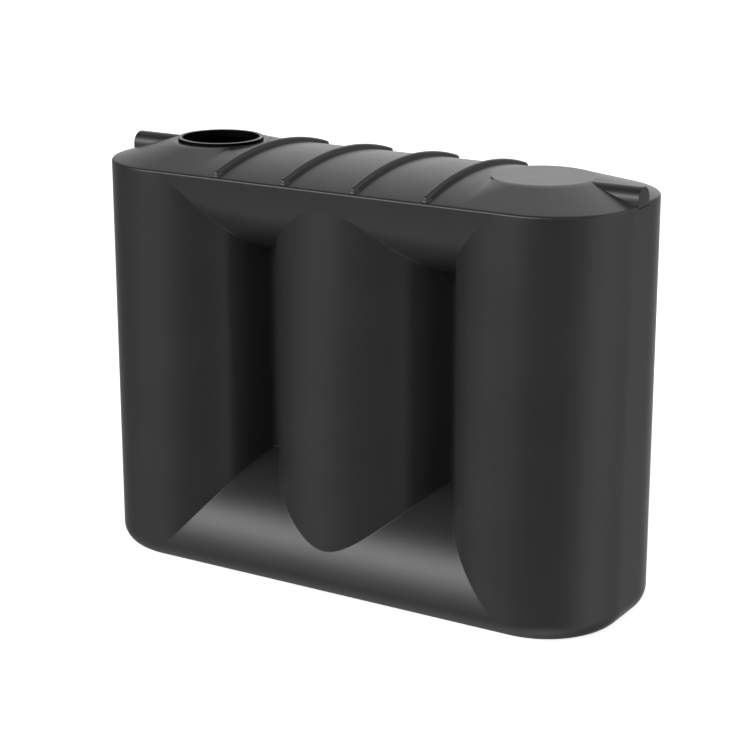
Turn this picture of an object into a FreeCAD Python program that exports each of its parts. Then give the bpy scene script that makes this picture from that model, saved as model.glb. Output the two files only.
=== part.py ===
import FreeCAD, Part
import math
import os

V = FreeCAD.Vector

# ---------------------------------------------------------------------------
# Slimline water tank: a moulded polyethylene shell with two deep pockets in
# each long side, a shallow barrel roof with four cross ribs, a flat pad at one
# end of the roof and an open inlet with a collar at the other, and a half-round
# overflow boss on the roof at each end.
# Frame: X along the tank, Y across it, Z up; origin under the middle of the
# base, on the plane it stands on.  Millimetres.
# ---------------------------------------------------------------------------

doc = FreeCAD.newDocument("slimline_water_tank")
sheet = doc.addObject("Spreadsheet::Sheet", "dims")

DIMS = [
    # overall shell
    ("tank_length", 2938.0),
    ("tank_width", 1056.0),
    ("eave_height", 2105.0),
    ("corner_radius", 419.0),
    ("base_radius", 104.0),
    ("wall", 8.0),
    # plan of the pockets: end lobes, centre column and the neck between them
    ("lobe_start", 1001.0),
    ("lobe_radius", 403.0),
    ("lobe_angle", 75.2),
    ("column_setback", 30.5),
    ("column_radius", 503.0),
    ("column_angle", 66.3),
    ("neck_radius", 40.0),
    ("neck_plane", 540.0),
    # upright profile of the pockets: sill below, hood above
    ("sill_start", 106.0),
    ("sill_radius", 524.0),
    ("sill_angle", 72.2),
    ("sill_lead", 5.0),
    ("hood_start", 2096.0),
    ("hood_radius", 564.5),
    ("hood_angle", 69.9),
    ("hood_lead", 13.7),
    # roof
    ("roof_rise", 85.0),
    ("roof_skin", 8.4),
    ("vault_half", 765.0),
    ("pad_offset", 943.0),
    ("pad_radius", 253.0),
    ("pad_depth", 20.0),
    # inlet
    ("inlet_radius", 199.0),
    ("collar_radius", 223.0),
    ("collar_height", 15.5),
    # cross ribs
    ("rib_pitch", 399.0),
    ("rib_shift", -16.0),
    ("rib_width", 34.0),
    ("rib_side", 8.5),
    ("rib_half_angle", 17.45),
    # overflow bosses
    ("boss_radius", 62.0),
    ("boss_side", 22.5),
    ("boss_start", 1150.0),
]
for row, (alias, value) in enumerate(DIMS, start=1):
    sheet.set("A%d" % row, alias)
    sheet.set("B%d" % row, str(value))
    sheet.setAlias("B%d" % row, alias)
doc.recompute()


def dim(alias):
    return float(getattr(sheet, alias))


LENGTH, WIDTH, EAVE = dim("tank_length"), dim("tank_width"), dim("eave_height")
RC, RB, WALL = dim("corner_radius"), dim("base_radius"), dim("wall")
HALF_L, HALF_W = LENGTH / 2.0, WIDTH / 2.0
CREST = EAVE + dim("roof_rise")
VAULT_R = (HALF_W ** 2 + dim("roof_rise") ** 2) / (2.0 * dim("roof_rise"))
VAULT_Z = CREST - VAULT_R


def rad(alias):
    return math.radians(dim(alias))


def held(name, shape):
    """Drawn shape kept in the document as the base of later features."""
    obj = doc.addObject("Part::Feature", name)
    obj.Shape = shape
    return obj


def line(a, b):
    return Part.makeLine(a, b)


def arc(a, b, c):
    return Part.Arc(a, b, c).toShape()


# ---------------------------------------------------------------------------
# plan outline of the upright walls, inset by a skin thickness where wanted
# ---------------------------------------------------------------------------
def quarter_plan(inset):
    """Front right quarter, from the column's front to the middle of the end."""
    fl, fc = rad("lobe_angle"), rad("column_angle")
    rl, rcol, rn = dim("lobe_radius"), dim("column_radius"), dim("neck_radius")
    c_col = (0.0, -HALF_W + dim("column_setback") + rcol)
    c_lob = (dim("lobe_start"), -HALF_W + rl)
    n_col = (math.sin(fc), -math.cos(fc))
    n_lob = (-math.sin(fl), -math.cos(fl))
    # neck fillet centre: rn clear of both flanks, on the open side
    p = c_col[0] * n_col[0] + c_col[1] * n_col[1] + rcol + rn
    q = c_lob[0] * n_lob[0] + c_lob[1] * n_lob[1] + rl + rn
    det = n_col[0] * n_lob[1] - n_col[1] * n_lob[0]
    c_nek = ((p * n_lob[1] - q * n_col[1]) / det, (q * n_col[0] - p * n_lob[0]) / det)
    mid = (n_col[0] + n_lob[0], n_col[1] + n_lob[1])
    size = math.hypot(*mid)
    mid = (mid[0] / size, mid[1] / size)

    def at(c, r, ang):
        return (c[0] + r * math.cos(ang), c[1] + r * math.sin(ang))

    def off(c, r, n):
        return (c[0] + r * n[0], c[1] + r * n[1])

    down = -math.pi / 2.0
    segs = []
    a0 = at(c_col, rcol - inset, down)
    a1 = at(c_col, rcol - inset, down + fc / 2.0)
    a2 = at(c_col, rcol - inset, down + fc)
    segs.append(("arc", a0, a1, a2))
    b0 = off(c_nek, -(rn + inset), n_col)
    b1 = off(c_nek, -(rn + inset), mid)
    b2 = off(c_nek, -(rn + inset), n_lob)
    segs.append(("line", a2, b0))
    segs.append(("arc", b0, b1, b2))
    d0 = at(c_lob, rl - inset, down - fl)
    d1 = at(c_lob, rl - inset, down - fl / 2.0)
    d2 = at(c_lob, rl - inset, down)
    segs.append(("line", b2, d0))
    segs.append(("arc", d0, d1, d2))
    e0 = (HALF_L - RC, -HALF_W + inset)
    segs.append(("line", d2, e0))
    c_cor = (HALF_L - RC, -HALF_W + RC)
    e1 = at(c_cor, RC - inset, down / 2.0)
    e2 = (HALF_L - inset, -HALF_W + RC)
    segs.append(("arc", e0, e1, e2))
    segs.append(("line", e2, (HALF_L - inset, 0.0)))
    return segs


def flipped(segs, sx, sy):
    out = []
    for seg in segs:
        pts = [(sx * x, sy * y) for x, y in seg[1:]]
        if sx * sy < 0:
            pts.reverse()
        out.append((seg[0],) + tuple(pts))
    if sx * sy < 0:
        out.reverse()
    return out


def wire_at(segs, z):
    edges = []
    for seg in segs:
        pts = [V(x, y, z) for x, y in seg[1:]]
        edges.append(arc(*pts) if seg[0] == "arc" else line(*pts))
    return Part.Wire(edges)


def wavy_wire(inset, z):
    q = quarter_plan(inset)
    return wire_at(q + flipped(q, 1, -1) + flipped(q, -1, -1) + flipped(q, -1, 1), z)


def round_rect_wire(inset, z):
    r = RC - inset
    hx, hy = HALF_L - inset, HALF_W - inset
    k = math.sqrt(0.5)
    q = [
        ("line", (0.0, -hy), (HALF_L - RC, -hy)),
        ("arc", (HALF_L - RC, -hy), (HALF_L - RC + r * k, -HALF_W + RC - r * k), (hx, -HALF_W + RC)),
        ("line", (hx, -HALF_W + RC), (hx, 0.0)),
    ]
    return wire_at(q + flipped(q, 1, -1) + flipped(q, -1, -1) + flipped(q, -1, 1), z)


# ---------------------------------------------------------------------------
# cross-section of the sill (below) and the hood (above)
# ---------------------------------------------------------------------------
def ledge_wire(inset, x, radius, angle, lead, start, upright, level):
    """Closed section: full width at `level`, sloping in to a ridge on the middle."""
    fi, al = rad(angle), rad(lead)
    r = dim(radius)
    yc = -HALF_W + r * math.cos(al)
    zc = dim(start) - upright * r * math.sin(al)
    re = r - inset
    th0 = math.acos((r * math.cos(al) - inset) / re)

    def at(th):
        return (yc - re * math.cos(th), zc + upright * re * math.sin(th))

    p0, p1, p2 = at(th0), at((th0 + fi) / 2.0), at(fi)
    ridge = (0.0, p2[1] + upright * (0.0 - p2[0]) / math.tan(fi))
    foot = (-HALF_W + inset, level)
    pts = lambda y, z: V(x, y, z)
    edges = [
        line(pts(*foot), pts(*p0)),
        arc(pts(*p0), pts(*p1), pts(*p2)),
        line(pts(*p2), pts(*ridge)),
        line(pts(*ridge), pts(-p2[0], p2[1])),
        arc(pts(-p2[0], p2[1]), pts(-p1[0], p1[1]), pts(-p0[0], p0[1])),
        line(pts(-p0[0], p0[1]), pts(-foot[0], foot[1])),
        line(pts(-foot[0], foot[1]), pts(*foot)),
    ]
    return Part.Wire(edges)


def sill_wire(inset):
    return ledge_wire(inset, -dim("lobe_start"), "sill_radius", "sill_angle", "sill_lead", "sill_start", 1.0, 0.0)


def hood_wire(inset):
    return ledge_wire(inset, -dim("lobe_start"), "hood_radius", "hood_angle", "hood_lead", "hood_start", -1.0, EAVE)


# ---------------------------------------------------------------------------
# feature helpers
# ---------------------------------------------------------------------------
def extruded(name, base, direction, length):
    obj = doc.addObject("Part::Extrusion", name)
    obj.Base = base
    obj.DirMode = "Custom"
    obj.Dir = V(*direction)
    obj.Solid = True
    obj.setExpression("LengthFwd", length)
    return obj


def fused(name, *shapes):
    obj = doc.addObject("Part::MultiFuse", name)
    obj.Shapes = list(shapes)
    obj.Refine = False
    return obj


def cut(name, base, tool):
    obj = doc.addObject("Part::Cut", name)
    obj.Base = base
    obj.Tool = tool
    obj.Refine = False
    return obj


def zone(name, x0, x1, y0, y1, z0, z1):
    """Box between six expressions."""
    obj = doc.addObject("Part::Box", name)
    obj.setExpression("Length", "(%s) - (%s)" % (x1, x0))
    obj.setExpression("Width", "(%s) - (%s)" % (y1, y0))
    obj.setExpression("Height", "(%s) - (%s)" % (z1, z0))
    obj.setExpression("Placement.Base.x", x0)
    obj.setExpression("Placement.Base.y", y0)
    obj.setExpression("Placement.Base.z", z0)
    return obj


def within(name, base, *box):
    """The part of `base` that lies in a box, as a named sub-part."""
    obj = doc.addObject("Part::Common", name)
    obj.Base = base
    obj.Tool = zone(name + "_zone", *box)
    obj.Refine = False
    NODES.append(obj)
    return obj


def cylinder(name, x, z, radius, height):
    obj = doc.addObject("Part::Cylinder", name)
    obj.setExpression("Radius", radius)
    obj.setExpression("Height", height)
    obj.setExpression("Placement.Base.x", x)
    obj.setExpression("Placement.Base.z", z)
    return obj


NODES = []
HL, HW, EV = "dims.tank_length / 2", "dims.tank_width / 2", "dims.eave_height"
CX = "(dims.tank_length / 2 - dims.corner_radius)"
CY = "(dims.tank_width / 2 - dims.corner_radius)"
NK = "dims.neck_plane"
RIM = "dims.base_radius"
OUT = "1 * 50"

# ---------------------------------------------------------------------------
# base: flat floor plate and the rounded skirt around it
# ---------------------------------------------------------------------------
floor_line = held("floor_outline", round_rect_wire(RB, 0.0))
base_floor = extruded("base_floor", floor_line, (0, 0, 1), "dims.wall")
NODES.append(base_floor)


def rounded_pan(inset):
    """Rounded-rectangle block with its lower edge rounded off all round."""
    body = Part.Face(round_rect_wire(inset, inset)).extrude(V(0, 0, 3.0 * RB))
    low = [e for e in body.Edges if abs(e.BoundBox.ZMax - inset) < 1e-6]
    return body.makeFillet(RB - inset, low)


pan_outer = held("pan_outer", rounded_pan(0.0))
pan_inner = held("pan_inner", rounded_pan(WALL))
floor_core = extruded("floor_core", floor_line, (0, 0, 1), "dims.base_radius * 4")
pan_shell = cut("pan_shell", pan_outer, fused("pan_core", pan_inner, floor_core))
within("front_skirt", pan_shell, "-" + CX, CX, "-%s - %s" % (HW, OUT), "0 * 1", "0 * 1", RIM)
within("back_skirt", pan_shell, "-" + CX, CX, "0 * 1", "%s + %s" % (HW, OUT), "0 * 1", RIM)
for side, lo, hi in (("left", "-%s - %s" % (HL, OUT), "-" + CX), ("right", CX, "%s + %s" % (HL, OUT))):
    within(side + "_front_corner_skirt", pan_shell, lo, hi, "-%s - %s" % (HW, OUT), "-" + CY, "0 * 1", RIM)
    within(side + "_end_skirt", pan_shell, lo, hi, "-" + CY, CY, "0 * 1", RIM)
    within(side + "_back_corner_skirt", pan_shell, lo, hi, CY, "%s + %s" % (HW, OUT), "0 * 1", RIM)

# ---------------------------------------------------------------------------
# upright walls: one wavy outline, hollow, opened where the sill and the hood
# pass through it
# ---------------------------------------------------------------------------
plan_outer = extruded("plan_outer", held("plan_outer_line", wavy_wire(0.0, 0.0)), (0, 0, 1), EV)
plan_inner = extruded("plan_inner", held("plan_inner_line", wavy_wire(WALL, 0.0)), (0, 0, 1), EV)
sill_outer = extruded("sill_outer", held("sill_outer_line", sill_wire(0.0)), (1, 0, 0), "2 * dims.lobe_start")
sill_inner = extruded("sill_inner", held("sill_inner_line", sill_wire(WALL)), (1, 0, 0), "2 * dims.lobe_start")
hood_outer = extruded("hood_outer", held("hood_outer_line", hood_wire(0.0)), (1, 0, 0), "2 * dims.lobe_start")
hood_inner = extruded("hood_inner", held("hood_inner_line", hood_wire(WALL)), (1, 0, 0), "2 * dims.lobe_start")

wall_shell = cut("wall_shell", plan_outer, fused("wall_core", plan_inner, sill_inner, hood_inner))
sill_shell = cut("sill_shell", sill_outer, fused("sill_core", sill_inner, plan_outer))
hood_shell = cut("hood_shell", hood_outer, fused("hood_core", hood_inner, plan_outer))

for side, lo, hi in (("left", "-%s - %s" % (HL, OUT), "-" + CX), ("right", CX, "%s + %s" % (HL, OUT))):
    within(side + "_front_corner_wall", wall_shell, lo, hi, "-%s - %s" % (HW, OUT), "-" + CY, RIM, EV)
    within(side + "_end_panel", wall_shell, lo, hi, "-" + CY, CY, RIM, EV)
    within(side + "_back_corner_wall", wall_shell, lo, hi, CY, "%s + %s" % (HW, OUT), RIM, EV)

for face, y0, y1 in (("front", "-%s - %s" % (HW, OUT), "0 * 1"), ("back", "0 * 1", "%s + %s" % (HW, OUT))):
    within(face + "_left_flank", wall_shell, "-" + CX, "-" + NK, y0, y1, RIM, EV)
    within(face + "_centre_column", wall_shell, "-" + NK, NK, y0, y1, RIM, EV)
    within(face + "_right_flank", wall_shell, NK, CX, y0, y1, RIM, EV)
    within(face + "_sill", sill_shell, "-" + CX, CX, y0, y1, RIM, EV)
    within(face + "_hood", hood_shell, "-" + CX, CX, y0, y1, RIM, EV)

# ---------------------------------------------------------------------------
# roof: barrel vault over the middle
# ---------------------------------------------------------------------------
vault_line = held("vault_line", Part.Wire([
    arc(V(-dim("vault_half"), -HALF_W, EAVE), V(-dim("vault_half"), 0, CREST), V(-dim("vault_half"), HALF_W, EAVE)),
    line(V(-dim("vault_half"), HALF_W, EAVE), V(-dim("vault_half"), -HALF_W, EAVE)),
]))
vault_outer = extruded("vault_outer", vault_line, (1, 0, 0), "2 * dims.vault_half")
vault_inner = extruded("vault_inner", held("vault_inner_line", vault_line.Shape.translated(V(0, 0, -dim("roof_skin")))),
                       (1, 0, 0), "2 * dims.vault_half")
pad_plugs = {}
for side, sign in (("left", "-"), ("right", "")):
    pad_plugs[side] = cylinder(side + "_pad_plug", sign + "dims.pad_offset", "dims.eave_height", "dims.pad_radius", "dims.roof_rise * 2")
roof_vault = cut("roof_vault", vault_outer, fused("vault_core", vault_inner, pad_plugs["left"], pad_plugs["right"]))
NODES.append(roof_vault)


# ---------------------------------------------------------------------------
# roof: hipped ends, ruled from the round pad down to the rounded eave
# ---------------------------------------------------------------------------
def hip_solid(drop):
    xp, rp, xv = dim("pad_offset"), dim("pad_radius"), dim("vault_half")
    top, low = CREST - drop, EAVE - drop
    k = math.sqrt(0.5)

    def pad(deg):
        a = math.radians(deg)
        return V(xp + rp * math.cos(a), rp * math.sin(a), top)

    def quarter(a, b):
        return arc(pad(a), pad((a + b) / 2.0), pad(b))

    def vault_pt(sign, y):
        return V(xv, sign * y, VAULT_Z - drop + math.sqrt(VAULT_R ** 2 - y * y))

    # the vault's end plane meets the pad's rim here
    meet = math.degrees(math.acos((xv - xp) / rp))
    y_meet = math.sqrt(rp ** 2 - (xp - xv) ** 2)

    faces = []
    ends = {}
    for s in (-1, 1):
        eave_v = V(xv, s * HALF_W, low)
        eave_c = V(HALF_L - RC, s * HALF_W, low)
        eave_e = V(HALF_L, s * (HALF_W - RC), low)
        p_side = pad(s * 90.0)
        vault_arc = arc(eave_v, vault_pt(s, (HALF_W + y_meet) / 2.0), vault_pt(s, y_meet))
        corner = arc(eave_c, V(HALF_L - RC + RC * k, s * (HALF_W - RC + RC * k), low), eave_e)
        q_in = quarter(s * 90.0, s * meet)
        q_out = quarter(s * 90.0, 0.0)
        ends[s] = (eave_v, eave_c, eave_e, vault_arc, corner, q_in, q_out)
        faces.append(Part.makeRuledSurface(q_in, vault_arc))
        faces.append(Part.Face(Part.makePolygon([p_side, eave_v, eave_c, p_side])))
        faces.append(Part.makeRuledSurface(q_out, corner))
    a, b = ends[-1], ends[1]
    faces.append(Part.Face(Part.makePolygon([pad(0.0), a[2], b[2], pad(0.0)])))
    chord = line(pad(-meet), pad(meet))
    faces.append(Part.Face(Part.Wire(Part.__sortEdges__([a[5], a[6], b[5], b[6], chord]))))
    faces.append(Part.Face(Part.Wire(Part.__sortEdges__([
        a[3], b[3], line(a[0], b[0]), chord,
        line(vault_pt(-1, y_meet), pad(-meet)), line(vault_pt(1, y_meet), pad(meet))]))))
    faces.append(Part.Face(Part.Wire(Part.__sortEdges__([
        line(a[0], a[1]), a[4], line(a[2], b[2]), b[4], line(b[1], b[0]), line(b[0], a[0])]))))
    shell = Part.makeShell(faces)
    shell.sewShape()
    body = Part.makeSolid(Part.Shell(shell.Faces))
    if body.Volume < 0:
        body.reverse()
    return body


right_hip_outer = held("right_hip_outer", hip_solid(0.0))
right_hip_inner = held("right_hip_inner", hip_solid(dim("roof_skin")))
left_hip_outer = held("left_hip_outer", right_hip_outer.Shape.mirror(V(0, 0, 0), V(1, 0, 0)))
left_hip_inner = held("left_hip_inner", right_hip_inner.Shape.mirror(V(0, 0, 0), V(1, 0, 0)))

PAD_Z = "dims.eave_height + dims.roof_rise - dims.pad_depth"
for side, outer, inner in (("left", left_hip_outer, left_hip_inner), ("right", right_hip_outer, right_hip_inner)):
    hip = cut(side + "_roof_hip", outer, fused(side + "_hip_core", inner, pad_plugs[side]))
    NODES.append(hip)

right_roof_pad = cylinder("right_roof_pad", "dims.pad_offset", PAD_Z, "dims.pad_radius", "dims.pad_depth")
NODES.append(right_roof_pad)

# ---------------------------------------------------------------------------
# inlet: seat let into the left end of the roof, and the collar on it
# ---------------------------------------------------------------------------
seat_disc = cylinder("seat_disc", "-dims.pad_offset", PAD_Z, "dims.pad_radius", "dims.pad_depth")
seat_hole = cylinder("seat_hole", "-dims.pad_offset", "dims.eave_height", "dims.inlet_radius", "dims.roof_rise * 2")
inlet_seat = cut("inlet_seat", seat_disc, seat_hole)
collar_disc = cylinder("collar_disc", "-dims.pad_offset", "dims.eave_height + dims.roof_rise", "dims.collar_radius", "dims.collar_height")
collar_hole = cylinder("collar_hole", "-dims.pad_offset", "dims.eave_height", "dims.inlet_radius", "dims.roof_rise * 2")
inlet_collar = cut("inlet_collar", collar_disc, collar_hole)
NODES += [inlet_seat, inlet_collar]

# ---------------------------------------------------------------------------
# cross ribs: half-round beads bent over the vault, with domed ends
# ---------------------------------------------------------------------------
RIB_W, RIB_S = dim("rib_width") / 2.0, dim("rib_side")


def turned(name, wire, base, axis, angle):
    obj = doc.addObject("Part::Revolution", name)
    obj.Source = held(name + "_line", wire)
    obj.Base = base
    obj.Axis = axis
    obj.Solid = True
    obj.setExpression("Angle", angle)
    return obj


def tilt(p, deg):
    """Point turned about the vault's axis, towards the front for positive angles."""
    a = math.radians(deg)
    y, z = p.y, p.z - VAULT_Z
    return V(p.x, y * math.cos(a) - z * math.sin(a), VAULT_Z + y * math.sin(a) + z * math.cos(a))


for number in range(4):
    x = (number - 1.5) * dim("rib_pitch") + dim("rib_shift")
    name = "rib_%d" % (number + 1)
    half = dim("rib_half_angle")
    k = math.sqrt(0.5)
    section = [V(x - RIB_W, 0, CREST), V(x + RIB_W, 0, CREST), V(x + RIB_W, 0, CREST + RIB_S),
               V(x, 0, CREST + RIB_S + RIB_W), V(x - RIB_W, 0, CREST + RIB_S)]
    sec = [tilt(p, half) for p in section]
    bead = turned(name + "_bead", Part.Wire([line(sec[0], sec[1]), line(sec[1], sec[2]), arc(sec[2], sec[3], sec[4]), line(sec[4], sec[0])]),
                  V(0, 0, VAULT_Z), V(-1, 0, 0), "2 * dims.rib_half_angle")
    pieces = [bead]
    for word, sign in (("front", 1.0), ("back", -1.0)):
        foot = V(x, 0, CREST)
        edge = V(x + RIB_W, 0, CREST)
        shoulder = V(x + RIB_W, 0, CREST + RIB_S)
        knee = V(x + RIB_W * k, 0, CREST + RIB_S + RIB_W * k)
        crown = V(x, 0, CREST + RIB_S + RIB_W)
        foot, edge, shoulder, knee, crown = [tilt(p, sign * half) for p in (foot, edge, shoulder, knee, crown)]
        axis = crown - foot
        axis.normalize()
        pieces.append(turned("%s_%s_end" % (name, word),
                             Part.Wire([line(foot, edge), line(edge, shoulder), arc(shoulder, knee, crown), line(crown, foot)]),
                             foot, axis * (-sign), "1 * 180"))
    rib = fused(name, *pieces)
    NODES.append(rib)

# ---------------------------------------------------------------------------
# overflow bosses: half-round ridges from the pad out to the end wall
# ---------------------------------------------------------------------------
BR, BS = dim("boss_radius"), dim("boss_side")
for side, sign, hip in (("left", -1.0, left_hip_outer), ("right", 1.0, right_hip_outer)):
    x = sign * dim("boss_start")
    boss_wire = Part.Wire([
        line(V(x, -BR, EAVE), V(x, BR, EAVE)),
        line(V(x, BR, EAVE), V(x, BR, EAVE + BS)),
        arc(V(x, BR, EAVE + BS), V(x, 0, EAVE + BS + BR), V(x, -BR, EAVE + BS)),
        line(V(x, -BR, EAVE + BS), V(x, -BR, EAVE)),
    ])
    ridge = extruded(side + "_boss_ridge", held(side + "_boss_line", boss_wire), (sign, 0, 0), "dims.tank_length / 2 - dims.boss_start")
    NODES.append(cut(side + "_overflow_boss", ridge, hip))

# ---------------------------------------------------------------------------
# check and write
# ---------------------------------------------------------------------------
doc.recompute()
for obj in doc.Objects:
    if "Invalid" in obj.State or "Error" in obj.State:
        raise RuntimeError("feature failed: %s %s" % (obj.Name, obj.State))

os.makedirs("parts", exist_ok=True)
for obj in NODES:
    shape = obj.Shape
    if shape.isNull() or not shape.isValid():
        raise RuntimeError("bad shape: " + obj.Label)
    if len(shape.Solids) != 1:
        raise RuntimeError("%s has %d solids" % (obj.Label, len(shape.Solids)))
    shape.Solids[0].exportStep("parts/%s.step" % obj.Label)
    print(obj.Label, round(shape.Volume / 1e6, 3), [round(v, 1) for v in (shape.BoundBox.XMin, shape.BoundBox.XMax, shape.BoundBox.YMin, shape.BoundBox.YMax, shape.BoundBox.ZMin, shape.BoundBox.ZMax)])
print(len(NODES), "parts")
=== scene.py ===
import math

import bpy
import numpy as np
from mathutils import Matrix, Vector


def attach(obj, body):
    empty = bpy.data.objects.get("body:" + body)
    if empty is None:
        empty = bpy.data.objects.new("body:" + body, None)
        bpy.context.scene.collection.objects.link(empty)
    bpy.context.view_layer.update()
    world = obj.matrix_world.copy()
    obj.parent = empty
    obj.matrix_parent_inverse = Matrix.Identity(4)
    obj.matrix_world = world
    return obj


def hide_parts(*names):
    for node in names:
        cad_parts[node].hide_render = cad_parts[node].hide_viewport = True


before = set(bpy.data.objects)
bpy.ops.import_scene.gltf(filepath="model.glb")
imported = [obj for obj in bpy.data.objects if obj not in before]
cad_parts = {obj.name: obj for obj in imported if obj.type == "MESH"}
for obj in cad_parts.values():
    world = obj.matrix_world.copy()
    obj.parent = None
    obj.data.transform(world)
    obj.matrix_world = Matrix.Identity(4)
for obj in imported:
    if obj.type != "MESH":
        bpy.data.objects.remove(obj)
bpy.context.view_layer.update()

# ---------------------------------------------------------------------------
# Dimensions, in metres, in the same frame as the structure
# ---------------------------------------------------------------------------
HL, HW, EAVE = 1.469, 0.528, 2.105          # half length, half width, eave height
RC, RB, SKIN = 0.419, 0.104, 0.008          # plan corner, base rounding, wall
LOBE_X, LOBE_R, LOBE_A = 1.001, 0.403, math.radians(75.2)
COL_S, COL_R, COL_A = 0.0305, 0.503, math.radians(66.3)
NECK_R = 0.040
SILL = (0.106, 0.524, math.radians(72.2), math.radians(5.0), 1.0)
HOOD = (2.096, 0.5645, math.radians(69.9), math.radians(13.7), -1.0)
CREST = 2.190
VR = (HW ** 2 + (CREST - EAVE) ** 2) / (2.0 * (CREST - EAVE))
VZ = CREST - VR
VAULT, PAD_X, PAD_R, PAD_DEEP = 0.765, 0.943, 0.253, 0.020
BORE_R, COLLAR_R, COLLAR_TOP = 0.199, 0.223, 2.2055
RIB_PITCH, RIB_SHIFT, RIB_FOOT = 0.399, -0.016, 0.5245
BOSS_R, BOSS_Z, BOSS_IN = 0.062, 2.1275, 1.165
CREASE_R = 0.006                            # rounding along the pocket creases
EDGE_W, EDGE_R = 0.010, 0.012               # eave rounding, down the wall and up the roof
ROOF_SKIN = 0.0084


# ---------------------------------------------------------------------------
# Section curves, tabulated by arc length so that both wall families unroll flat
# ---------------------------------------------------------------------------
def neck_centre():
    nc = np.array([math.sin(COL_A), -math.cos(COL_A)])
    nl = np.array([-math.sin(LOBE_A), -math.cos(LOBE_A)])
    cc, cl = np.array([0.0, COL_S + COL_R]), np.array([LOBE_X, LOBE_R])
    return np.linalg.solve(np.array([nc, nl]), np.array([cc @ nc + COL_R + NECK_R, cl @ nl + LOBE_R + NECK_R]))


NECK_X, NECK_D = neck_centre()
DEEP = NECK_D + NECK_R


def column_x(t):
    """Half width of the centre column at depth t behind the front plane."""
    t = np.asarray(t, float)
    t1 = COL_S + COL_R * (1 - math.cos(COL_A))
    arc = np.sqrt(np.clip(COL_R ** 2 - (COL_R - (t - COL_S)) ** 2, 0, None))
    flank = COL_R * math.sin(COL_A) + (t - t1) / math.tan(COL_A)
    neck = NECK_X - np.sqrt(np.clip(NECK_R ** 2 - (t - NECK_D) ** 2, 0, None))
    return np.where(t < t1, arc, np.where(t < NECK_D + NECK_R * math.cos(COL_A), flank, neck))


def lobe_x(t):
    """Where the end lobe's flank stands at depth t behind the front plane."""
    t = np.asarray(t, float)
    t1 = LOBE_R * (1 - math.cos(LOBE_A))
    arc = LOBE_X - np.sqrt(np.clip(LOBE_R ** 2 - (LOBE_R - t) ** 2, 0, None))
    flank = LOBE_X - LOBE_R * math.sin(LOBE_A) - (t - t1) / math.tan(LOBE_A)
    neck = NECK_X + np.sqrt(np.clip(NECK_R ** 2 - (t - NECK_D) ** 2, 0, None))
    return np.where(t < t1, arc, np.where(t < NECK_D + NECK_R * math.cos(LOBE_A), flank, neck))


def ledge_z(t, ledge):
    """Height of the sill or the hood at depth t."""
    start, r, top, lead, up = ledge
    t = np.asarray(t, float)
    t1 = r * (math.cos(lead) - math.cos(top))
    th = np.arccos(np.clip(math.cos(lead) - np.minimum(t, t1) / r, -1, 1))
    return start + up * (r * (np.sin(th) - math.sin(lead)) + np.clip(t - t1, 0, None) / math.tan(top))


class Flat:
    """A curve of points (a, b), read by arc length."""

    def __init__(self, a, b):
        self.a, self.b = np.asarray(a, float), np.asarray(b, float)
        self.s = np.concatenate([[0.0], np.cumsum(np.hypot(np.diff(self.a), np.diff(self.b)))])

    def at(self, s):
        return np.interp(s, self.s, self.a), np.interp(s, self.s, self.b)


def dense(lo, hi, n=6001):
    return lo + (hi - lo) * (1 - np.cos(np.linspace(0, math.pi, n))) / 2


def upright_plan():
    """Plan of the upright wall from the column's front to the middle of the end: x, y."""
    tc, tl = dense(COL_S, DEEP), dense(DEEP, 0.0)
    a = np.linspace(0, math.pi / 2, 1201)
    x = np.concatenate([column_x(tc), lobe_x(tl)[1:], [HL - RC], HL - RC + RC * np.sin(a[1:]), [HL]])
    y = np.concatenate([tc, tl[1:], [0.0], RC * (1 - np.cos(a[1:])), [HW]]) - HW
    return Flat(x, y)


PLAN = upright_plan()
P_NECK = float(np.interp(0, [0], [0]) + PLAN.s[6000])            # arc length at the neck's bottom
P_LOBE = float(PLAN.s[12000])                                    # where the lobe leaves the front plane
P_FLAT = float(PLAN.s[12001])                                    # where the corner starts
P_CORNER = float(PLAN.s[13201])                                  # where the corner ends
P_END = float(PLAN.s[-1])


def ledge_profile(ledge):
    t = np.linspace(0, DEEP + 0.01, 8001)
    return Flat(t, ledge_z(t, ledge))


PROFILE = {"sill": ledge_profile(SILL), "hood": ledge_profile(HOOD)}
LEDGE = {"sill": SILL, "hood": HOOD}

# depth of the hood where the eave rounding begins
EDGE_Z = EAVE - EDGE_W
T_EDGE = float(np.interp(-EDGE_Z, -ledge_z(np.linspace(0, 0.05, 5001), HOOD), np.linspace(0, 0.05, 5001)))

# shared depth samples: close together where the outlines turn
t_near = COL_S * (np.arange(0, 9) / 8.0) ** 2
t_near = t_near[(t_near == 0.0) | (np.abs(t_near - T_EDGE) > 0.0003)]
t_far = COL_S + (DEEP - COL_S) * (1 - np.cos(np.pi * np.arange(1, 57) / 56)) / 2
T = np.unique(np.concatenate([t_near, [T_EDGE], t_far]))
I_EDGE, I_COL = int(np.argmin(np.abs(T - T_EDGE))), int(np.argmin(np.abs(T - COL_S)))


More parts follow.
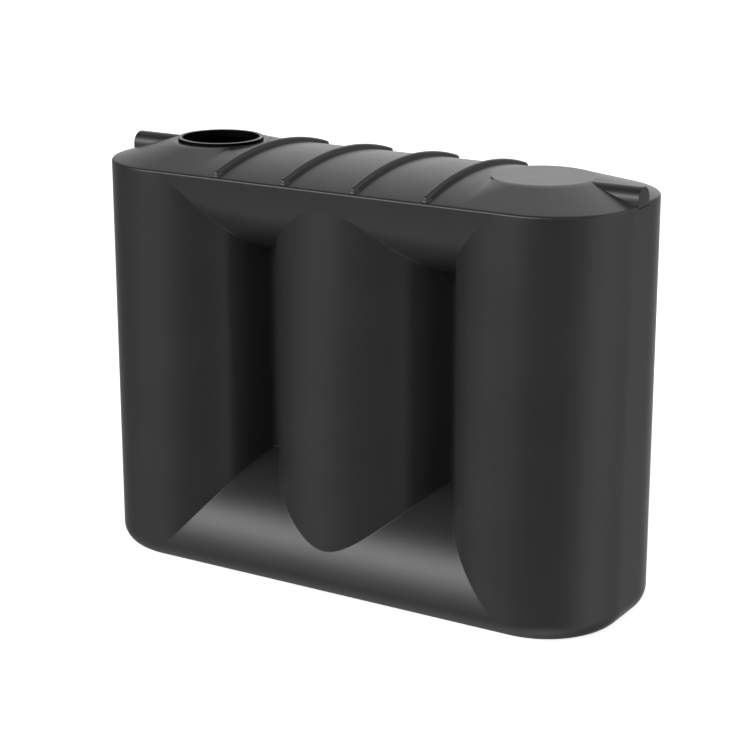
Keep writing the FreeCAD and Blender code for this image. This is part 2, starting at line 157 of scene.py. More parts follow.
# ---------------------------------------------------------------------------
# One shared skin, gathered patch by patch; a quarter is drawn and mirrored
# ---------------------------------------------------------------------------
class Skin:
    def __init__(self):
        self.points, self.faces, self.labels, self.count = [], [], [], 0

    def grid(self, g, label, hint):
        """Adds a grid of points (rows, columns, 3) as quads that face the hint."""
        g = np.asarray(g, float)
        m, n = g.shape[:2]
        i = np.arange(m * n).reshape(m, n)
        q = np.stack([i[:-1, :-1], i[1:, :-1], i[1:, 1:], i[:-1, 1:]], -1).reshape(-1, 4)
        v = g.reshape(-1, 3)
        normal = np.cross(v[q[:, 2]] - v[q[:, 0]], v[q[:, 3]] - v[q[:, 1]]).sum(0)
        if normal @ np.asarray(hint, float) < 0:
            q = q[:, ::-1]
        self.points.append(v)
        self.faces.append(q + self.count)
        self.labels += list(label) if isinstance(label, (list, np.ndarray)) else [label] * len(q)
        self.count += len(v)

    def welded(self):
        v, f = np.concatenate(self.points), np.concatenate(self.faces)
        key = np.round(v * 2e5).astype(np.int64)
        _, first, back = np.unique(key, axis=0, return_index=True, return_inverse=True)
        v, f = v[first], back.reshape(-1)[f]
        faces, labels, seen = [], [], set()
        for quad, label in zip(f.tolist(), self.labels):
            loop = [a for k, a in enumerate(quad) if a != quad[k - 1]]
            if len(set(loop)) < 3 or len(set(loop)) != len(loop):
                continue
            mark = frozenset(loop)
            if mark in seen:
                continue
            seen.add(mark)
            faces.append(loop)
            labels.append(label)
        return v, faces, labels


skin = Skin()


def mirrored(g, label, hint):
    """The same patch in all four quarters, with the label of each."""
    for sx in (1, -1):
        for sy in (1, -1):
            side, face = ("right" if sx > 0 else "left"), ("front" if sy > 0 else "back")
            flip = np.array([sx, sy, 1.0])
            names = label(side, face) if callable(label) else label
            skin.grid(np.asarray(g) * flip, names, np.asarray(hint, float) * flip)


def lerp(a, b, f):
    """Rows from a to b: a, b (n, k), f (m,) -> (m, n, k)."""
    f = np.asarray(f, float)[:, None, None]
    return a[None] * (1 - f) + b[None] * f


def unit(v):
    return v / np.maximum(np.linalg.norm(v, axis=-1, keepdims=True), 1e-12)


# --- the pocket creases, offset a rounding's width into both unrolled walls ----
def crease(kind):
    """For the sill or hood: crease points, and the rounding's feet on wall and ledge."""
    prof = PROFILE[kind]
    start = 0 if kind == "sill" else I_EDGE
    tl = T[start:]                                   # along the lobe, going in
    tc = T[I_COL:][::-1][1:]                         # along the column, coming out
    t = np.concatenate([tl, tc])
    x = np.concatenate([lobe_x(tl), column_x(tc)])
    x[-1] = 0.0
    z = ledge_z(t, LEDGE[kind])
    s = np.interp(t, prof.a, prof.s)
    p = np.concatenate([np.interp(-tl, -PLAN.b[6000:12001] - HW, PLAN.s[6000:12001]), np.interp(tc, PLAN.b[:6001] + HW, PLAN.s[:6001])])
    n_lobe = len(tl)

    def tangent(a, b):
        pa, pb = np.concatenate([a, [-a[-2]]]), np.concatenate([b, [b[-2]]])   # mirrored past the column's middle
        d = np.stack([np.gradient(pa), np.gradient(pb)], -1)[:-1]
        return unit(d)

    # unrolled upright wall (p, z): the wall stands above a sill and below a hood
    tw = tangent(p, z)
    nw = np.stack([-tw[:, 1], tw[:, 0]], -1)
    up = 1.0 if kind == "sill" else -1.0
    nw *= np.sign(nw[:, 1:2] * up + 1e-9)
    # unrolled ledge (x, s): the ledge lies on the outer side, towards less depth
    tg = tangent(x, s)
    ng = np.stack([-tg[:, 1], tg[:, 0]], -1)
    inside = np.concatenate([-np.ones(n_lobe - 1), [0.0], np.ones(len(tc))])
    side = ng[:, 0] * inside * 0.5 - ng[:, 1]
    ng *= np.where(side < 0, -1.0, 1.0)[:, None]
    # opening angle between the two walls sets the rounding's width
    gx = np.gradient(np.interp(p, PLAN.s, PLAN.a)), np.gradient(np.interp(p, PLAN.s, PLAN.b))
    e = 1e-4
    ax = (np.interp(p + e, PLAN.s, PLAN.a) - np.interp(np.maximum(p - e, 0), PLAN.s, PLAN.a))
    ay = (np.interp(p + e, PLAN.s, PLAN.b) - np.interp(np.maximum(p - e, 0), PLAN.s, PLAN.b))
    na = unit(np.stack([ay, -ax, np.zeros_like(ax)], -1))
    na *= np.where(na[:, 1:2] > 0, -1.0, 1.0)
    bt = np.interp(s + e, prof.s, prof.a) - np.interp(np.maximum(s - e, 0), prof.s, prof.a)
    bz = np.interp(s + e, prof.s, prof.b) - np.interp(np.maximum(s - e, 0), prof.s, prof.b)
    nb = unit(np.stack([np.zeros_like(bt), -np.abs(bz), up * np.abs(bt)], -1))
    psi = np.arccos(np.clip((na * nb).sum(-1), -1, 1))
    w = CREASE_R * np.tan(psi / 2)
    taper = np.clip((t - t[0]) / 0.012, 0, 1)
    taper[n_lobe:] = 1.0
    w = w * taper * taper * (3 - 2 * taper)
    pw, zw = p + w * nw[:, 0], z + w * nw[:, 1]
    xg, sg = x + w * ng[:, 0], s + w * ng[:, 1]
    pw[-1], xg[-1] = 0.0, 0.0
    return dict(p=pw, z=zw, x=xg, s=sg, crest=np.stack([x, t - HW, z], -1), n=n_lobe)


def wall_at(p, z):
    x, y = PLAN.at(p)
    return np.stack([x, y, z], -1)


def ledge_at(x, s, kind):
    t, z = PROFILE[kind].at(s)
    return np.stack([x, t - HW, z], -1)


creases = {k: crease(k) for k in ("sill", "hood")}
ROUND = (1 - np.cos(np.linspace(0, math.pi, 7))) / 2

# roundings along the creases
for kind in ("sill", "hood"):
    c = creases[kind]
    foot_w, foot_l = wall_at(c["p"], c["z"]), ledge_at(c["x"], c["s"], kind)
    f = ROUND[:, None, None]
    strip = foot_w[None] * (1 - f) ** 2 + 2 * f * (1 - f) * c["crest"][None] + foot_l[None] * f ** 2
    n = c["n"]
    mirrored(strip[:, :n], lambda side, face: "%s_%s_flank" % (face, side), (0, -1, 0))
    mirrored(strip[:, n - 1:], lambda side, face: "%s_centre_column" % face, (0, -1, 0))

# the ledges themselves
c = creases["hood"]
x_edge = float(c["x"][0])
FRACTION = {
    "sill": np.linspace(0, 1, 29),
    "hood": np.concatenate([np.linspace(0, VAULT / x_edge, 25), np.linspace(VAULT / x_edge, 1, 9)[1:]]),
}
for kind in ("sill", "hood"):
    c = creases[kind]
    n = c["n"]
    xl, sl = c["x"][:n], c["s"][:n]
    xc, sc = np.zeros(n), np.zeros(n)
    deep = c["x"][n - 1:][::-1], c["s"][n - 1:][::-1]      # from the column's middle inwards
    k = n - len(deep[0])
    xc[k:], sc[k:] = deep
    s0 = sl[0]
    full = np.interp(T[(0 if kind == "sill" else I_EDGE):][:k + 1], PROFILE[kind].a, PROFILE[kind].s)
    sc[:k + 1] = s0 + (full - s0) * (sc[k] - s0) / (full[k] - s0)
    f = FRACTION[kind][None, :]
    g = ledge_at(xc[:, None] * (1 - f) + xl[:, None] * f, sc[:, None] * (1 - f) + sl[:, None] * f, kind)
    mirrored(g, lambda side, face, kind=kind: "%s_%s" % (face, kind), (0, -1, 1 if kind == "sill" else -1))

# upright walls between the two creases, then round the corner to the end
low, high = creases["sill"], creases["hood"]
flat_p = np.linspace(P_LOBE, P_FLAT, 4)[1:]
corner_p = np.linspace(P_FLAT, P_CORNER, 25)[1:]
end_p = np.linspace(P_CORNER, P_END, 7)[1:]
lobe_rest = np.interp(-T[:I_EDGE][::-1], -PLAN.b[6000:12001] - HW, PLAN.s[6000:12001])   # lobe face above the hood's start
bottom = np.concatenate([np.stack([low["p"], low["z"]], -1)[::-1],
                         np.stack([np.concatenate([flat_p, corner_p, end_p]), np.full(33, SILL[0])], -1)])
top = np.concatenate([np.stack([high["p"], high["z"]], -1)[::-1],
                      np.stack([np.concatenate([lobe_rest, flat_p, corner_p, end_p]), np.full(33 + I_EDGE, EDGE_Z)], -1)])
rows = np.linspace(0, 1, 19)
g = lerp(bottom, top, rows)
g = wall_at(g[..., 0], g[..., 1])
g[:, -1, 1] = 0.0
n_col, n_flank, n_corner = len(T) - I_COL, len(bottom) - 31, len(bottom) - 7
mirrored(g[:, :n_col], lambda side, face: "%s_centre_column" % face, (0, -1, 0))
mirrored(g[:, n_col - 1:n_flank + 1], lambda side, face: "%s_%s_flank" % (face, side), (0, -1, 0))
mirrored(g[:, n_flank:n_corner + 1], lambda side, face: "%s_%s_corner_wall" % (side, face), (1, -1, 0))
mirrored(g[:, n_corner:], lambda side, face: "%s_end_panel" % side, (1, 0, 0))

# --- base: rounded skirt down to the flat floor --------------------------------
sill_line = ledge_at(FRACTION["sill"] * LOBE_X, np.zeros(29), "sill")
ring = np.concatenate([sill_line, wall_at(np.concatenate([flat_p, corner_p, end_p]), np.full(33, SILL[0]))])
ring[-1, 1] = 0.0


def inward(ring):
    """Inward plan normal of the rounded rectangle at each ring point."""
    cx, cy = np.maximum(ring[:, 0] - (HL - RC), 0), np.maximum(-ring[:, 1] - (HW - RC), 0)
    n = np.stack([-cx, cy, np.zeros(len(ring))], -1)
    return unit(n)


n_in = inward(ring)
a = np.linspace(0, math.pi / 2, 13)
drop = np.concatenate([[0.0], RB * (1 - np.cos(a))])
height = np.concatenate([[SILL[0]], RB * (1 - np.sin(a))])
g = ring[None] + n_in[None] * drop[:, None, None]
g[..., 2] = height[:, None]
nf, nc = len(ring) - 31, len(ring) - 7
mirrored(g[:, :nf + 1], lambda side, face: "%s_skirt" % face, (0, -1, -1))
mirrored(g[:, nf:nc + 1], lambda side, face: "%s_%s_corner_skirt" % (side, face), (1, -1, -1))
mirrored(g[:, nc:], lambda side, face: "%s_end_skirt" % side, (1, 0, -1))
rim = g[-1]
mid = rim.copy()
mid[:, 1] = 0.0
mirrored(lerp(rim[:nc + 1], mid[:nc + 1], np.linspace(0, 1, 7)), "base_floor", (0, 0, -1))

# --- eave rounding ------------------------------------------------------------
hood_line = ledge_at(FRACTION["hood"] * x_edge, np.full(33, creases["hood"]["s"][0]), "hood")
ring = np.concatenate([hood_line, wall_at(np.concatenate([lobe_rest, flat_p, corner_p, end_p]), np.full(33 + I_EDGE, EDGE_Z))])
ring[-1, 1] = 0.0
outline = ring.copy()
outline[:len(ring) - 31 + 1, 1] = -HW
outline[:, 2] = EAVE
n_in = inward(outline)
pad_turn = np.concatenate([np.zeros(len(ring) - 30), np.linspace(0, math.pi / 2, 25)[1:], np.full(6, math.pi / 2)])
pad_ring = np.stack([PAD_X + PAD_R * np.sin(pad_turn), -PAD_R * np.cos(pad_turn), np.full(len(ring), CREST)], -1)
run = np.hypot(*(pad_ring - outline)[:, :2].T)
nf = len(ring) - 31
run[:nf + 1] = HW - PAD_R
run[-6:] = HL - PAD_X - PAD_R
inset = outline + n_in * EDGE_R
inset[:, 2] = EAVE + EDGE_R * (CREST - EAVE) / run
vault_edge_z = VZ + math.sqrt(VR ** 2 - (HW - EDGE_R) ** 2)
near = np.clip((ring[:, 0] - VAULT) / 0.15, 0, 1)
near[nf + 1:] = 1.0
inset[:, 2] = vault_edge_z * (1 - near) + inset[:, 2] * near
inset[-1, 1] = 0.0
f = ROUND[:, None, None]
g = ring[None] * (1 - f) ** 2 + 2 * f * (1 - f) * outline[None] + inset[None] * f ** 2
nc = len(ring) - 7
mirrored(g[:, :33], lambda side, face: "%s_hood" % face, (0, -1, 1))
mirrored(g[:, 32:nf + 1], lambda side, face: "%s_%s_flank" % (face, side), (0, -1, 1))
mirrored(g[:, nf:nc + 1], lambda side, face: "%s_%s_corner_wall" % (side, face), (1, -1, 1))
mirrored(g[:, nc:], lambda side, face: "%s_end_panel" % side, (1, 0, 1))

# --- roof: vault, hipped end, round pad ---------------------------------------
y_meet = math.sqrt(PAD_R ** 2 - (PAD_X - VAULT) ** 2)
turn_meet = math.atan2(PAD_X - VAULT, y_meet)              # from the pad's side towards the vault
y_side = np.linspace(-(HW - EDGE_R), -y_meet, 13)
turn_in = np.linspace(turn_meet, math.pi / 2, 11)
y_all = np.concatenate([y_side, -PAD_R * np.cos(turn_in[1:])])
y_all[-1] = 0.0
x_last = np.concatenate([np.full(13, VAULT), PAD_X - PAD_R * np.sin(turn_in[1:])])
z_all = VZ + np.sqrt(VR ** 2 - y_all ** 2)
f = np.linspace(0, 1, 25)[None, :]
g = np.stack([x_last[:, None] * f, np.repeat(y_all[:, None], 25, 1), np.repeat(z_all[:, None], 25, 1)], -1)
mirrored(g, "roof_vault", (0, 0, 1))

# hip: ruled from the eave and the vault's end up to the pad's rim
turn_hip = np.linspace(0, turn_meet, 13)[::-1]             # vault end, from the pad's rim out to the eave
vault_end = np.stack([np.full(13, VAULT), y_side, VZ + np.sqrt(VR ** 2 - y_side ** 2)], -1)[::-1]
pad_in = np.stack([PAD_X - PAD_R * np.sin(turn_hip), -PAD_R * np.cos(turn_hip), np.full(13, CREST)], -1)
outer = np.concatenate([vault_end, inset[25:]])
inner = np.concatenate([pad_in, pad_ring[25:]])
SOFT = 0.006                                               # width of the softened rim
rise = np.concatenate([np.linspace(0, 1, 11)])
g = lerp(outer, inner, rise)
mirrored(g, lambda side, face: "%s_roof_hip" % side, (0, 0, 1))

# low step where the pad's rim stands above the vault
step_xy = np.stack([PAD_X - PAD_R * np.sin(turn_in), -PAD_R * np.cos(turn_in)], -1)
step_xy[-1, 1] = 0.0
step_lo = np.concatenate([step_xy, (VZ + np.sqrt(VR ** 2 - step_xy[:, 1] ** 2))[:, None]], -1)
step_hi = np.concatenate([step_xy, np.full((11, 1), CREST)], -1)


def pad_name(side, face):
    return "right_roof_pad" if side == "right" else "inlet_seat"


mirrored(lerp(step_lo, step_hi, [0, 1]), pad_name, (-1, -0.3, 0))
rim = np.concatenate([step_hi[::-1], pad_in[1:], pad_ring[25 + 1:]])
centre = np.array([PAD_X, 0.0, CREST])
for sx, name, radii in ((1, "right_roof_pad", [1.0, 0.975, 0.85, 0.65, 0.45, 0.25, 0.1, 0.0]),
                        (-1, "inlet_seat", [1.0, 0.975, 0.93, 0.88, 0.83, BORE_R / PAD_R])):
    for sy in (1, -1):
        flip = np.array([sx, sy, 1.0])
        g = centre + (rim - centre)[None] * np.array(radii)[:, None, None]
        g[..., 2] = CREST
        g[:, 0, 1] = g[:, -1, 1] = 0.0
        skin.grid(g * flip, name, (0, 0, 1))

points, faces, labels = skin.welded()


# ---------------------------------------------------------------------------
# Shading normals of the whole skin, then one closed shell piece per CAD node
# ---------------------------------------------------------------------------
def new_mesh(name, v, f):
    mesh = bpy.data.meshes.new(name)
    mesh.from_pydata([tuple(p) for p in np.asarray(v).tolist()], [], f)
    mesh.update()
    return mesh


def smooth_with_edges(mesh, limit):
    """Smooth shading with edges over the limit, in degrees, kept sharp."""
    mesh.polygons.foreach_set("use_smooth", np.ones(len(mesh.polygons), bool))
    mesh.set_sharp_from_angle(angle=math.radians(limit))
    mesh.update()


def corner_normals(mesh):
    n = np.zeros(len(mesh.loops) * 3, np.float32)
    mesh.corner_normals.foreach_get("vector", n)
    return n.reshape(-1, 3)


whole = new_mesh("whole_skin", points, faces)
smooth_with_edges(whole, 38)
loop_normals = corner_normals(whole)
vertex_normals = np.zeros((len(points), 3))
starts = np.cumsum([0] + [len(f) for f in faces])
flat_index = np.concatenate([np.array(f) for f in faces])
np.add.at(vertex_normals, flat_index, loop_normals)
vertex_normals = unit(vertex_normals)
edges = {}
for k, f in enumerate(faces):
    for a, b in zip(f, f[1:] + f[:1]):
        edges.setdefault((min(a, b), max(a, b)), []).append(k)
open_edges = [e for e, ks in edges.items() if len(ks) == 1]
print("SKIN", len(points), "points", len(faces), "faces", len(open_edges), "open edges", sum(len(k) > 2 for k in edges.values()), "over-shared")
bpy.data.meshes.remove(whole)

pieces = {}


def piece_object(name, mesh):
    obj = bpy.data.objects.new(name, mesh)
    bpy.context.scene.collection.objects.link(obj)
    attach(obj, "root")
    pieces[name] = obj
    return obj


def shell_piece(node, thickness):
    """Closed piece of the skin: outside, inside, and the cut faces between."""
    own = [k for k, label in enumerate(labels) if label == node]
    used = sorted({a for k in own for a in faces[k]})
    local = {a: i for i, a in enumerate(used)}
    n = len(used)
    out = points[used]
    v = np.concatenate([out, out - vertex_normals[used] * thickness])
    f, normals = [], []
    count = {}
    for k in own:
        loop = [local[a] for a in faces[k]]
        f.append(loop)
        normals.append(loop_normals[starts[k]:starts[k + 1]])
        for a, b in zip(loop, loop[1:] + loop[:1]):
            count[(a, b)] = count.get((a, b), 0) + 1
    for k in own:
        loop = [local[a] + n for a in faces[k]][::-1]
        f.append(loop)
        normals.append(-loop_normals[starts[k]:starts[k + 1]][::-1])
    for (a, b) in count:
        if (b, a) not in count:
            q = [b, a, a + n, b + n]
            f.append(q)
            w = np.cross(v[q[2]] - v[q[0]], v[q[3]] - v[q[1]])
            normals.append(np.repeat(unit(w)[None], 4, 0))
    mesh = new_mesh(node + "_skin", v, f)
    mesh.polygons.foreach_set("use_smooth", np.ones(len(f), bool))
    mesh.normals_split_custom_set([tuple(x) for x in np.concatenate(normals).tolist()])
    obj = piece_object(node + "_skin", mesh)
    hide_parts(node)
    return obj


THICK = {"roof_vault": ROOF_SKIN, "left_roof_hip": ROOF_SKIN, "right_roof_hip": ROOF_SKIN, "right_roof_pad": PAD_DEEP, "inlet_seat": PAD_DEEP}
for node in sorted(set(labels)):
    shell_piece(node, THICK.get(node, SKIN))


# ---------------------------------------------------------------------------
# Cross ribs: half-round beads with blunt, flared ends
# ---------------------------------------------------------------------------
RIB_HIGH = 0.0253


def half_section(r, lean, foot):
    """Offset and height from crown to foot: rounded top, leaning side, small foot fillet."""
    a = np.linspace(0, lean, 12)
    crown = np.stack([r * np.sin(a), RIB_HIGH - r + r * np.cos(a)], -1)
    low = foot * (1 - math.cos(lean))
    base = crown[-1, 0] + (crown[-1, 1] - low) / math.tan(lean) + foot * math.sin(lean)
    b = np.linspace(lean, 0, 7)
    fillet = np.stack([base - foot * np.sin(b), foot * (1 - np.cos(b))], -1)
    return np.concatenate([crown, fillet])


def bead_profile():
    """Half widths along the bead and at its flared end, run-out of the end and height, from the crown to the foot, then under the skin."""
    side = half_section(0.0170, math.radians(80.0), 0.0030)
    flare = half_section(0.0150, math.radians(74.0), 0.0110)
    end = half_section(0.0160, math.radians(66.0), 0.0115)
    h = np.unique(np.round(np.concatenate([side[:, 1], flare[:, 1], end[:, 1]]), 5))[::-1]
    h = h[np.concatenate([[True], np.diff(h) < -0.00006])]
    h[-1] = 0.0
    sizes = [np.interp(-h, -c[:, 1], c[:, 0]) for c in (side, flare, end)]
    d, w, e = [np.concatenate([c, c[-1] + np.array([0.0005, 0.0])]) for c in sizes]
    return d, w, e, np.concatenate([h, [-0.004, -0.0075]])


def blunt(v):
    """Squares off a sine or cosine, for the plan of a rib's end."""
    return np.sign(v) * np.abs(v) ** 0.42


def on_vault(x, along, height):
    """Point at distance `along` across the vault from its crest line, and height above it."""
    a = np.asarray(along) / VR
    return np.stack([x + np.zeros_like(a), (VR + height) * np.sin(a), VZ + (VR + height) * np.cos(a)], -1)


def rib(number):
    x0 = (number - 2.5) * RIB_PITCH + RIB_SHIFT
    d, w, e, h = bead_profile()
    reach = math.asin(RIB_FOOT / VR) * VR - e.max()
    near = np.linspace(reach - 0.024, reach, 9)
    path = np.concatenate([-near[::-1], np.linspace(-near[0], near[0], 47)[1:-1], near])
    n = len(path)
    share = np.clip((np.abs(path) - near[0]) / 0.024, 0, 1)
    share = (share * share * (3 - 2 * share))[:, None]
    half = d[None, :] * (1 - share) + w[None, :] * share
    across = np.concatenate([-half[:, ::-1], half[:, 1:]], 1)
    high = np.concatenate([h[::-1], h[1:]])
    s = Skin()
    g = on_vault(x0 + across, path[:, None] + np.zeros((1, across.shape[1])), high[None, :] + np.zeros((n, 1)))
    s.grid(g, "rib", (0, 0, 1))
    turn = np.linspace(-math.pi / 2, math.pi / 2, 21)
    for end in (-1, 1):
        g = on_vault(x0 + w[None, :] * blunt(np.sin(turn))[:, None], end * (reach + e[None, :] * blunt(np.cos(turn))[:, None]), h[None, :] + np.zeros((21, 1)))
        s.grid(g, "rib", (0, 0, 1))
    # underside, closed on the middle line
    q = np.linspace(0, math.pi / 2, 11)[1:]
    far, wide = reach + e[-1] * blunt(np.sin(q)), w[-1] * blunt(np.cos(q))
    loop_a = np.concatenate([-far[::-1], path, far])
    loop_w = np.concatenate([wide[::-1], half[:, -1], wide])
    loop_w[0] = loop_w[-1] = 0.0
    side = np.linspace(-1, 1, 3)
    g = on_vault(x0 + loop_w[None, :] * side[:, None], loop_a[None, :] + np.zeros((3, 1)), np.full((3, len(loop_a)), h[-1]))
    s.grid(g, "rib", (0, 0, -1))
    v, f, _ = s.welded()
    mesh = new_mesh("rib_%d_bead" % number, v, f)
    smooth_with_edges(mesh, 50)
    obj = piece_object("rib_%d_bead" % number, mesh)
    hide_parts("rib_%d" % number)
    return obj


for number in (1, 2, 3, 4):
    rib(number)


# ---------------------------------------------------------------------------
# Overflow bosses: half-round ridges running out to a flat face over the end wall
# ---------------------------------------------------------------------------
def boss(side):
    sx = 1.0 if side == "right" else -1.0
    a = np.linspace(0, math.pi, 33)
    r_edge = 0.0020
    b = np.linspace(0, math.pi / 2, 6)
    xs = np.concatenate([np.linspace(BOSS_IN, HL - r_edge, 22), HL - r_edge + r_edge * np.sin(b[1:])])
    ins = np.concatenate([np.zeros(22), r_edge * (1 - np.cos(b[1:]))])
    end_low = EAVE - 0.014
    rows = []
    for x, i in zip(xs, ins):
        r = BOSS_R - i
        floor = min(CREST, CREST - (x - PAD_X - PAD_R) * (CREST - EAVE) / (HL - PAD_X - PAD_R)) - 0.007
        floor = min(floor, BOSS_Z - 0.002) if x < HL - 0.02 else end_low
        floor = max(floor, end_low)
        leg = np.linspace(floor, BOSS_Z, 5)[:-1]
        y = np.concatenate([np.full(4, r), r * np.cos(a), np.full(4, -r)])
        z = np.concatenate([leg, BOSS_Z + r * np.sin(a), leg[::-1]])
        rows.append(np.stack([np.full(len(y), x), y, z], -1))
    g = np.stack(rows)
    s = Skin()
    flip = np.array([sx, 1.0, 1.0])
    s.grid(g * flip, "boss", (0, 0, 1))
    under = g[:, :1] + (g[:, -1:] - g[:, :1]) * np.linspace(0, 1, 5)[None, :, None]
    s.grid(under * flip, "boss", (0, 0, -1))
    for row, hint in ((g[0], (-sx, 0, 0)), (g[-1], (sx, 0, 0))):
        mid = (row + row[::-1]) / 2
        cap = lerp(row, mid, [0, 0.5, 1.0])
        half = len(row) // 2
        s.grid(cap[:, :half + 1] * flip, "boss", hint)
        s.grid(cap[:, half:] * flip, "boss", hint)
    v, f, _ = s.welded()
    mesh = new_mesh(side + "_overflow_boss_ridge", v, f)
    smooth_with_edges(mesh, 50)
    obj = piece_object(side + "_overflow_boss_ridge", mesh)
    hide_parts(side + "_overflow_boss")
    return obj


for side in ("left", "right"):
    boss(side)


# ---------------------------------------------------------------------------
# Inlet collar: turned ring with a lightly broken top edge and a lip inside
# ---------------------------------------------------------------------------
def collar():
    top, low = COLLAR_TOP, CREST - 0.004
    big, small, bore = 0.0012, 0.0045, BORE_R - 0.0008
    q = np.linspace(0, math.pi / 2, 9)
    outer = [(COLLAR_R, low), (COLLAR_R, CREST + 0.003), (COLLAR_R, top - big - 0.0015)]
    outer += [(COLLAR_R - big + big * math.cos(t), top - big + big * math.sin(t)) for t in q]
    flat = [(COLLAR_R - big - 0.001, top), (bore + small + 0.001, top)]
    inner = [(bore + small - small * math.sin(t), top - small + small * math.cos(t)) for t in q]
    inner += [(bore, top - 0.008), (bore, CREST - 0.010), (bore, CREST - PAD_DEEP - 0.0004)]
    profile = np.array(outer + flat + inner)
    profile = np.concatenate([profile, [[bore + 0.006, CREST - PAD_DEEP - 0.0004], [bore + 0.006, low]]])
    turn = np.linspace(0, 2 * math.pi, 161)
    loop = np.concatenate([profile, profile[:1]])
    g = np.stack([-PAD_X + loop[:, 0][:, None] * np.cos(turn), loop[:, 0][:, None] * np.sin(turn), np.repeat(loop[:, 1][:, None], 161, 1)], -1)
    v = g[:-1, :-1].reshape(-1, 3)
    m, n = len(profile), 160
    f = []
    for i in range(m):
        for j in range(n):
            f.append([i * n + j, i * n + (j + 1) % n, ((i + 1) % m) * n + (j + 1) % n, ((i + 1) % m) * n + j])
    mesh = new_mesh("inlet_collar_ring", v, f)
    smooth_with_edges(mesh, 40)
    obj = piece_object("inlet_collar_ring", mesh)
    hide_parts("inlet_collar")
    return obj


collar()


# ---------------------------------------------------------------------------
# Materials
# ---------------------------------------------------------------------------
def new_material(name):
    mat = bpy.data.materials.new(name)
    mat.use_nodes = True
    nt = mat.node_tree
    nt.nodes.clear()
    out = nt.nodes.new("ShaderNodeOutputMaterial")
    bsdf = nt.nodes.new("ShaderNodeBsdfPrincipled")
    nt.links.new(bsdf.outputs["BSDF"], out.inputs["Surface"])
    return mat, nt, bsdf


def noise(nt, coord, scale, detail=3.0, rough=0.5, kind="ShaderNodeTexNoise"):
    n = nt.nodes.new(kind)
    n.inputs["Scale"].default_value = scale
    if "Detail" in n.inputs:
        n.inputs["Detail"].default_value = detail
    if "Roughness" in n.inputs:
        n.inputs["Roughness"].default_value = rough
    nt.links.new(coord, n.inputs["Vector"])
    return n


def ramp(nt, source, stops):
    n = nt.nodes.new("ShaderNodeValToRGB")
    n.color_ramp.elements[0].position, n.color_ramp.elements[0].color = stops[0][0], stops[0][1]
    n.color_ramp.elements[1].position, n.color_ramp.elements[1].color = stops[-1][0], stops[-1][1]
    for pos, col in stops[1:-1]:
        e = n.color_ramp.elements.new(pos)
        e.color = col
    nt.links.new(source, n.inputs["Fac"])
    return n


def spread(nt, source, lo, hi):
    n = nt.nodes.new("ShaderNodeMapRange")
    n.inputs["From Min"].default_value = 0.3
    n.inputs["From Max"].default_value = 0.7
    n.inputs["To Min"].default_value = lo
    n.inputs["To Max"].default_value = hi
    nt.links.new(source, n.inputs["Value"])
    return n


def bump(nt, height, strength, distance, normal=None):
    n = nt.nodes.new("ShaderNodeBump")
    n.inputs["Strength"].default_value = strength
    n.inputs["Distance"].default_value = distance
    nt.links.new(height, n.inputs["Height"])
    if normal is not None:
        nt.links.new(normal, n.inputs["Normal"])
    return n


def grey(v, warm=0.0):
    return (v * (1 + warm), v, v * (1 - warm * 0.6), 1.0)


def moulded(name, dark, light, rough_lo, rough_hi, gloss=0.5):
    """Rotationally moulded polyethylene: mottled charcoal, satin, fine orange-peel grain."""
    mat, nt, bsdf = new_material(name)
    coord = nt.nodes.new("ShaderNodeTexCoord").outputs["Object"]
    cloud = noise(nt, coord, 2.2, 4.0, 0.55)
    speck = noise(nt, coord, 420.0, 2.0, 0.6)
    mix = nt.nodes.new("ShaderNodeMath")
    mix.operation = "MULTIPLY_ADD"
    mix.inputs[1].default_value = 0.25
    nt.links.new(speck.outputs["Fac"], mix.inputs[0])
    share = nt.nodes.new("ShaderNodeMath")
    share.operation = "MULTIPLY"
    share.inputs[1].default_value = 0.75
    nt.links.new(cloud.outputs["Fac"], share.inputs[0])
    nt.links.new(share.outputs[0], mix.inputs[2])
    tone = ramp(nt, mix.outputs[0], [(0.32, grey(dark)), (0.68, grey(light))])
    nt.links.new(tone.outputs["Color"], bsdf.inputs["Base Color"])
    patch = noise(nt, coord, 7.0, 5.0, 0.6)
    nt.links.new(spread(nt, patch.outputs["Fac"], rough_lo, rough_hi).outputs["Result"], bsdf.inputs["Roughness"])
    peel = noise(nt, coord, 160.0, 2.0, 0.45)
    grain = noise(nt, coord, 900.0, 1.0, 0.5)
    first = bump(nt, peel.outputs["Fac"], 0.05, 0.0006)
    second = bump(nt, grain.outputs["Fac"], 0.04, 0.0002, first.outputs["Normal"])
    nt.links.new(second.outputs["Normal"], bsdf.inputs["Normal"])
    bsdf.inputs["IOR"].default_value = 1.50
    bsdf.inputs["Specular IOR Level"].default_value = gloss
    return mat


body_mat = moulded("charcoal_moulded", 0.027, 0.033, 0.285, 0.315)
black_mat = moulded("black_moulded", 0.0030, 0.0045, 0.27, 0.33)
# painted shade: a darker, nearly unreflecting copy of the collar's black, for its outer wall and bore, which sit
# in shade
shaded_black_mat = moulded("black_painted_shade", 0.0008, 0.0014, 0.55, 0.65, 0.05)

for name, obj in pieces.items():
    black = name == "inlet_collar_ring"
    obj.data.materials.clear()
    obj.data.materials.append(black_mat if black else body_mat)
    if black:
        # the top face and upper edge take the glossy black; the outer wall and the bore take a darker, duller copy
        # of it as painted shade
        obj.data.materials.append(shaded_black_mat)
        obj.data.polygons.foreach_set("material_index", [0 if 7 <= k // 160 <= 13 else 1 for k in range(len(obj.data.polygons))])

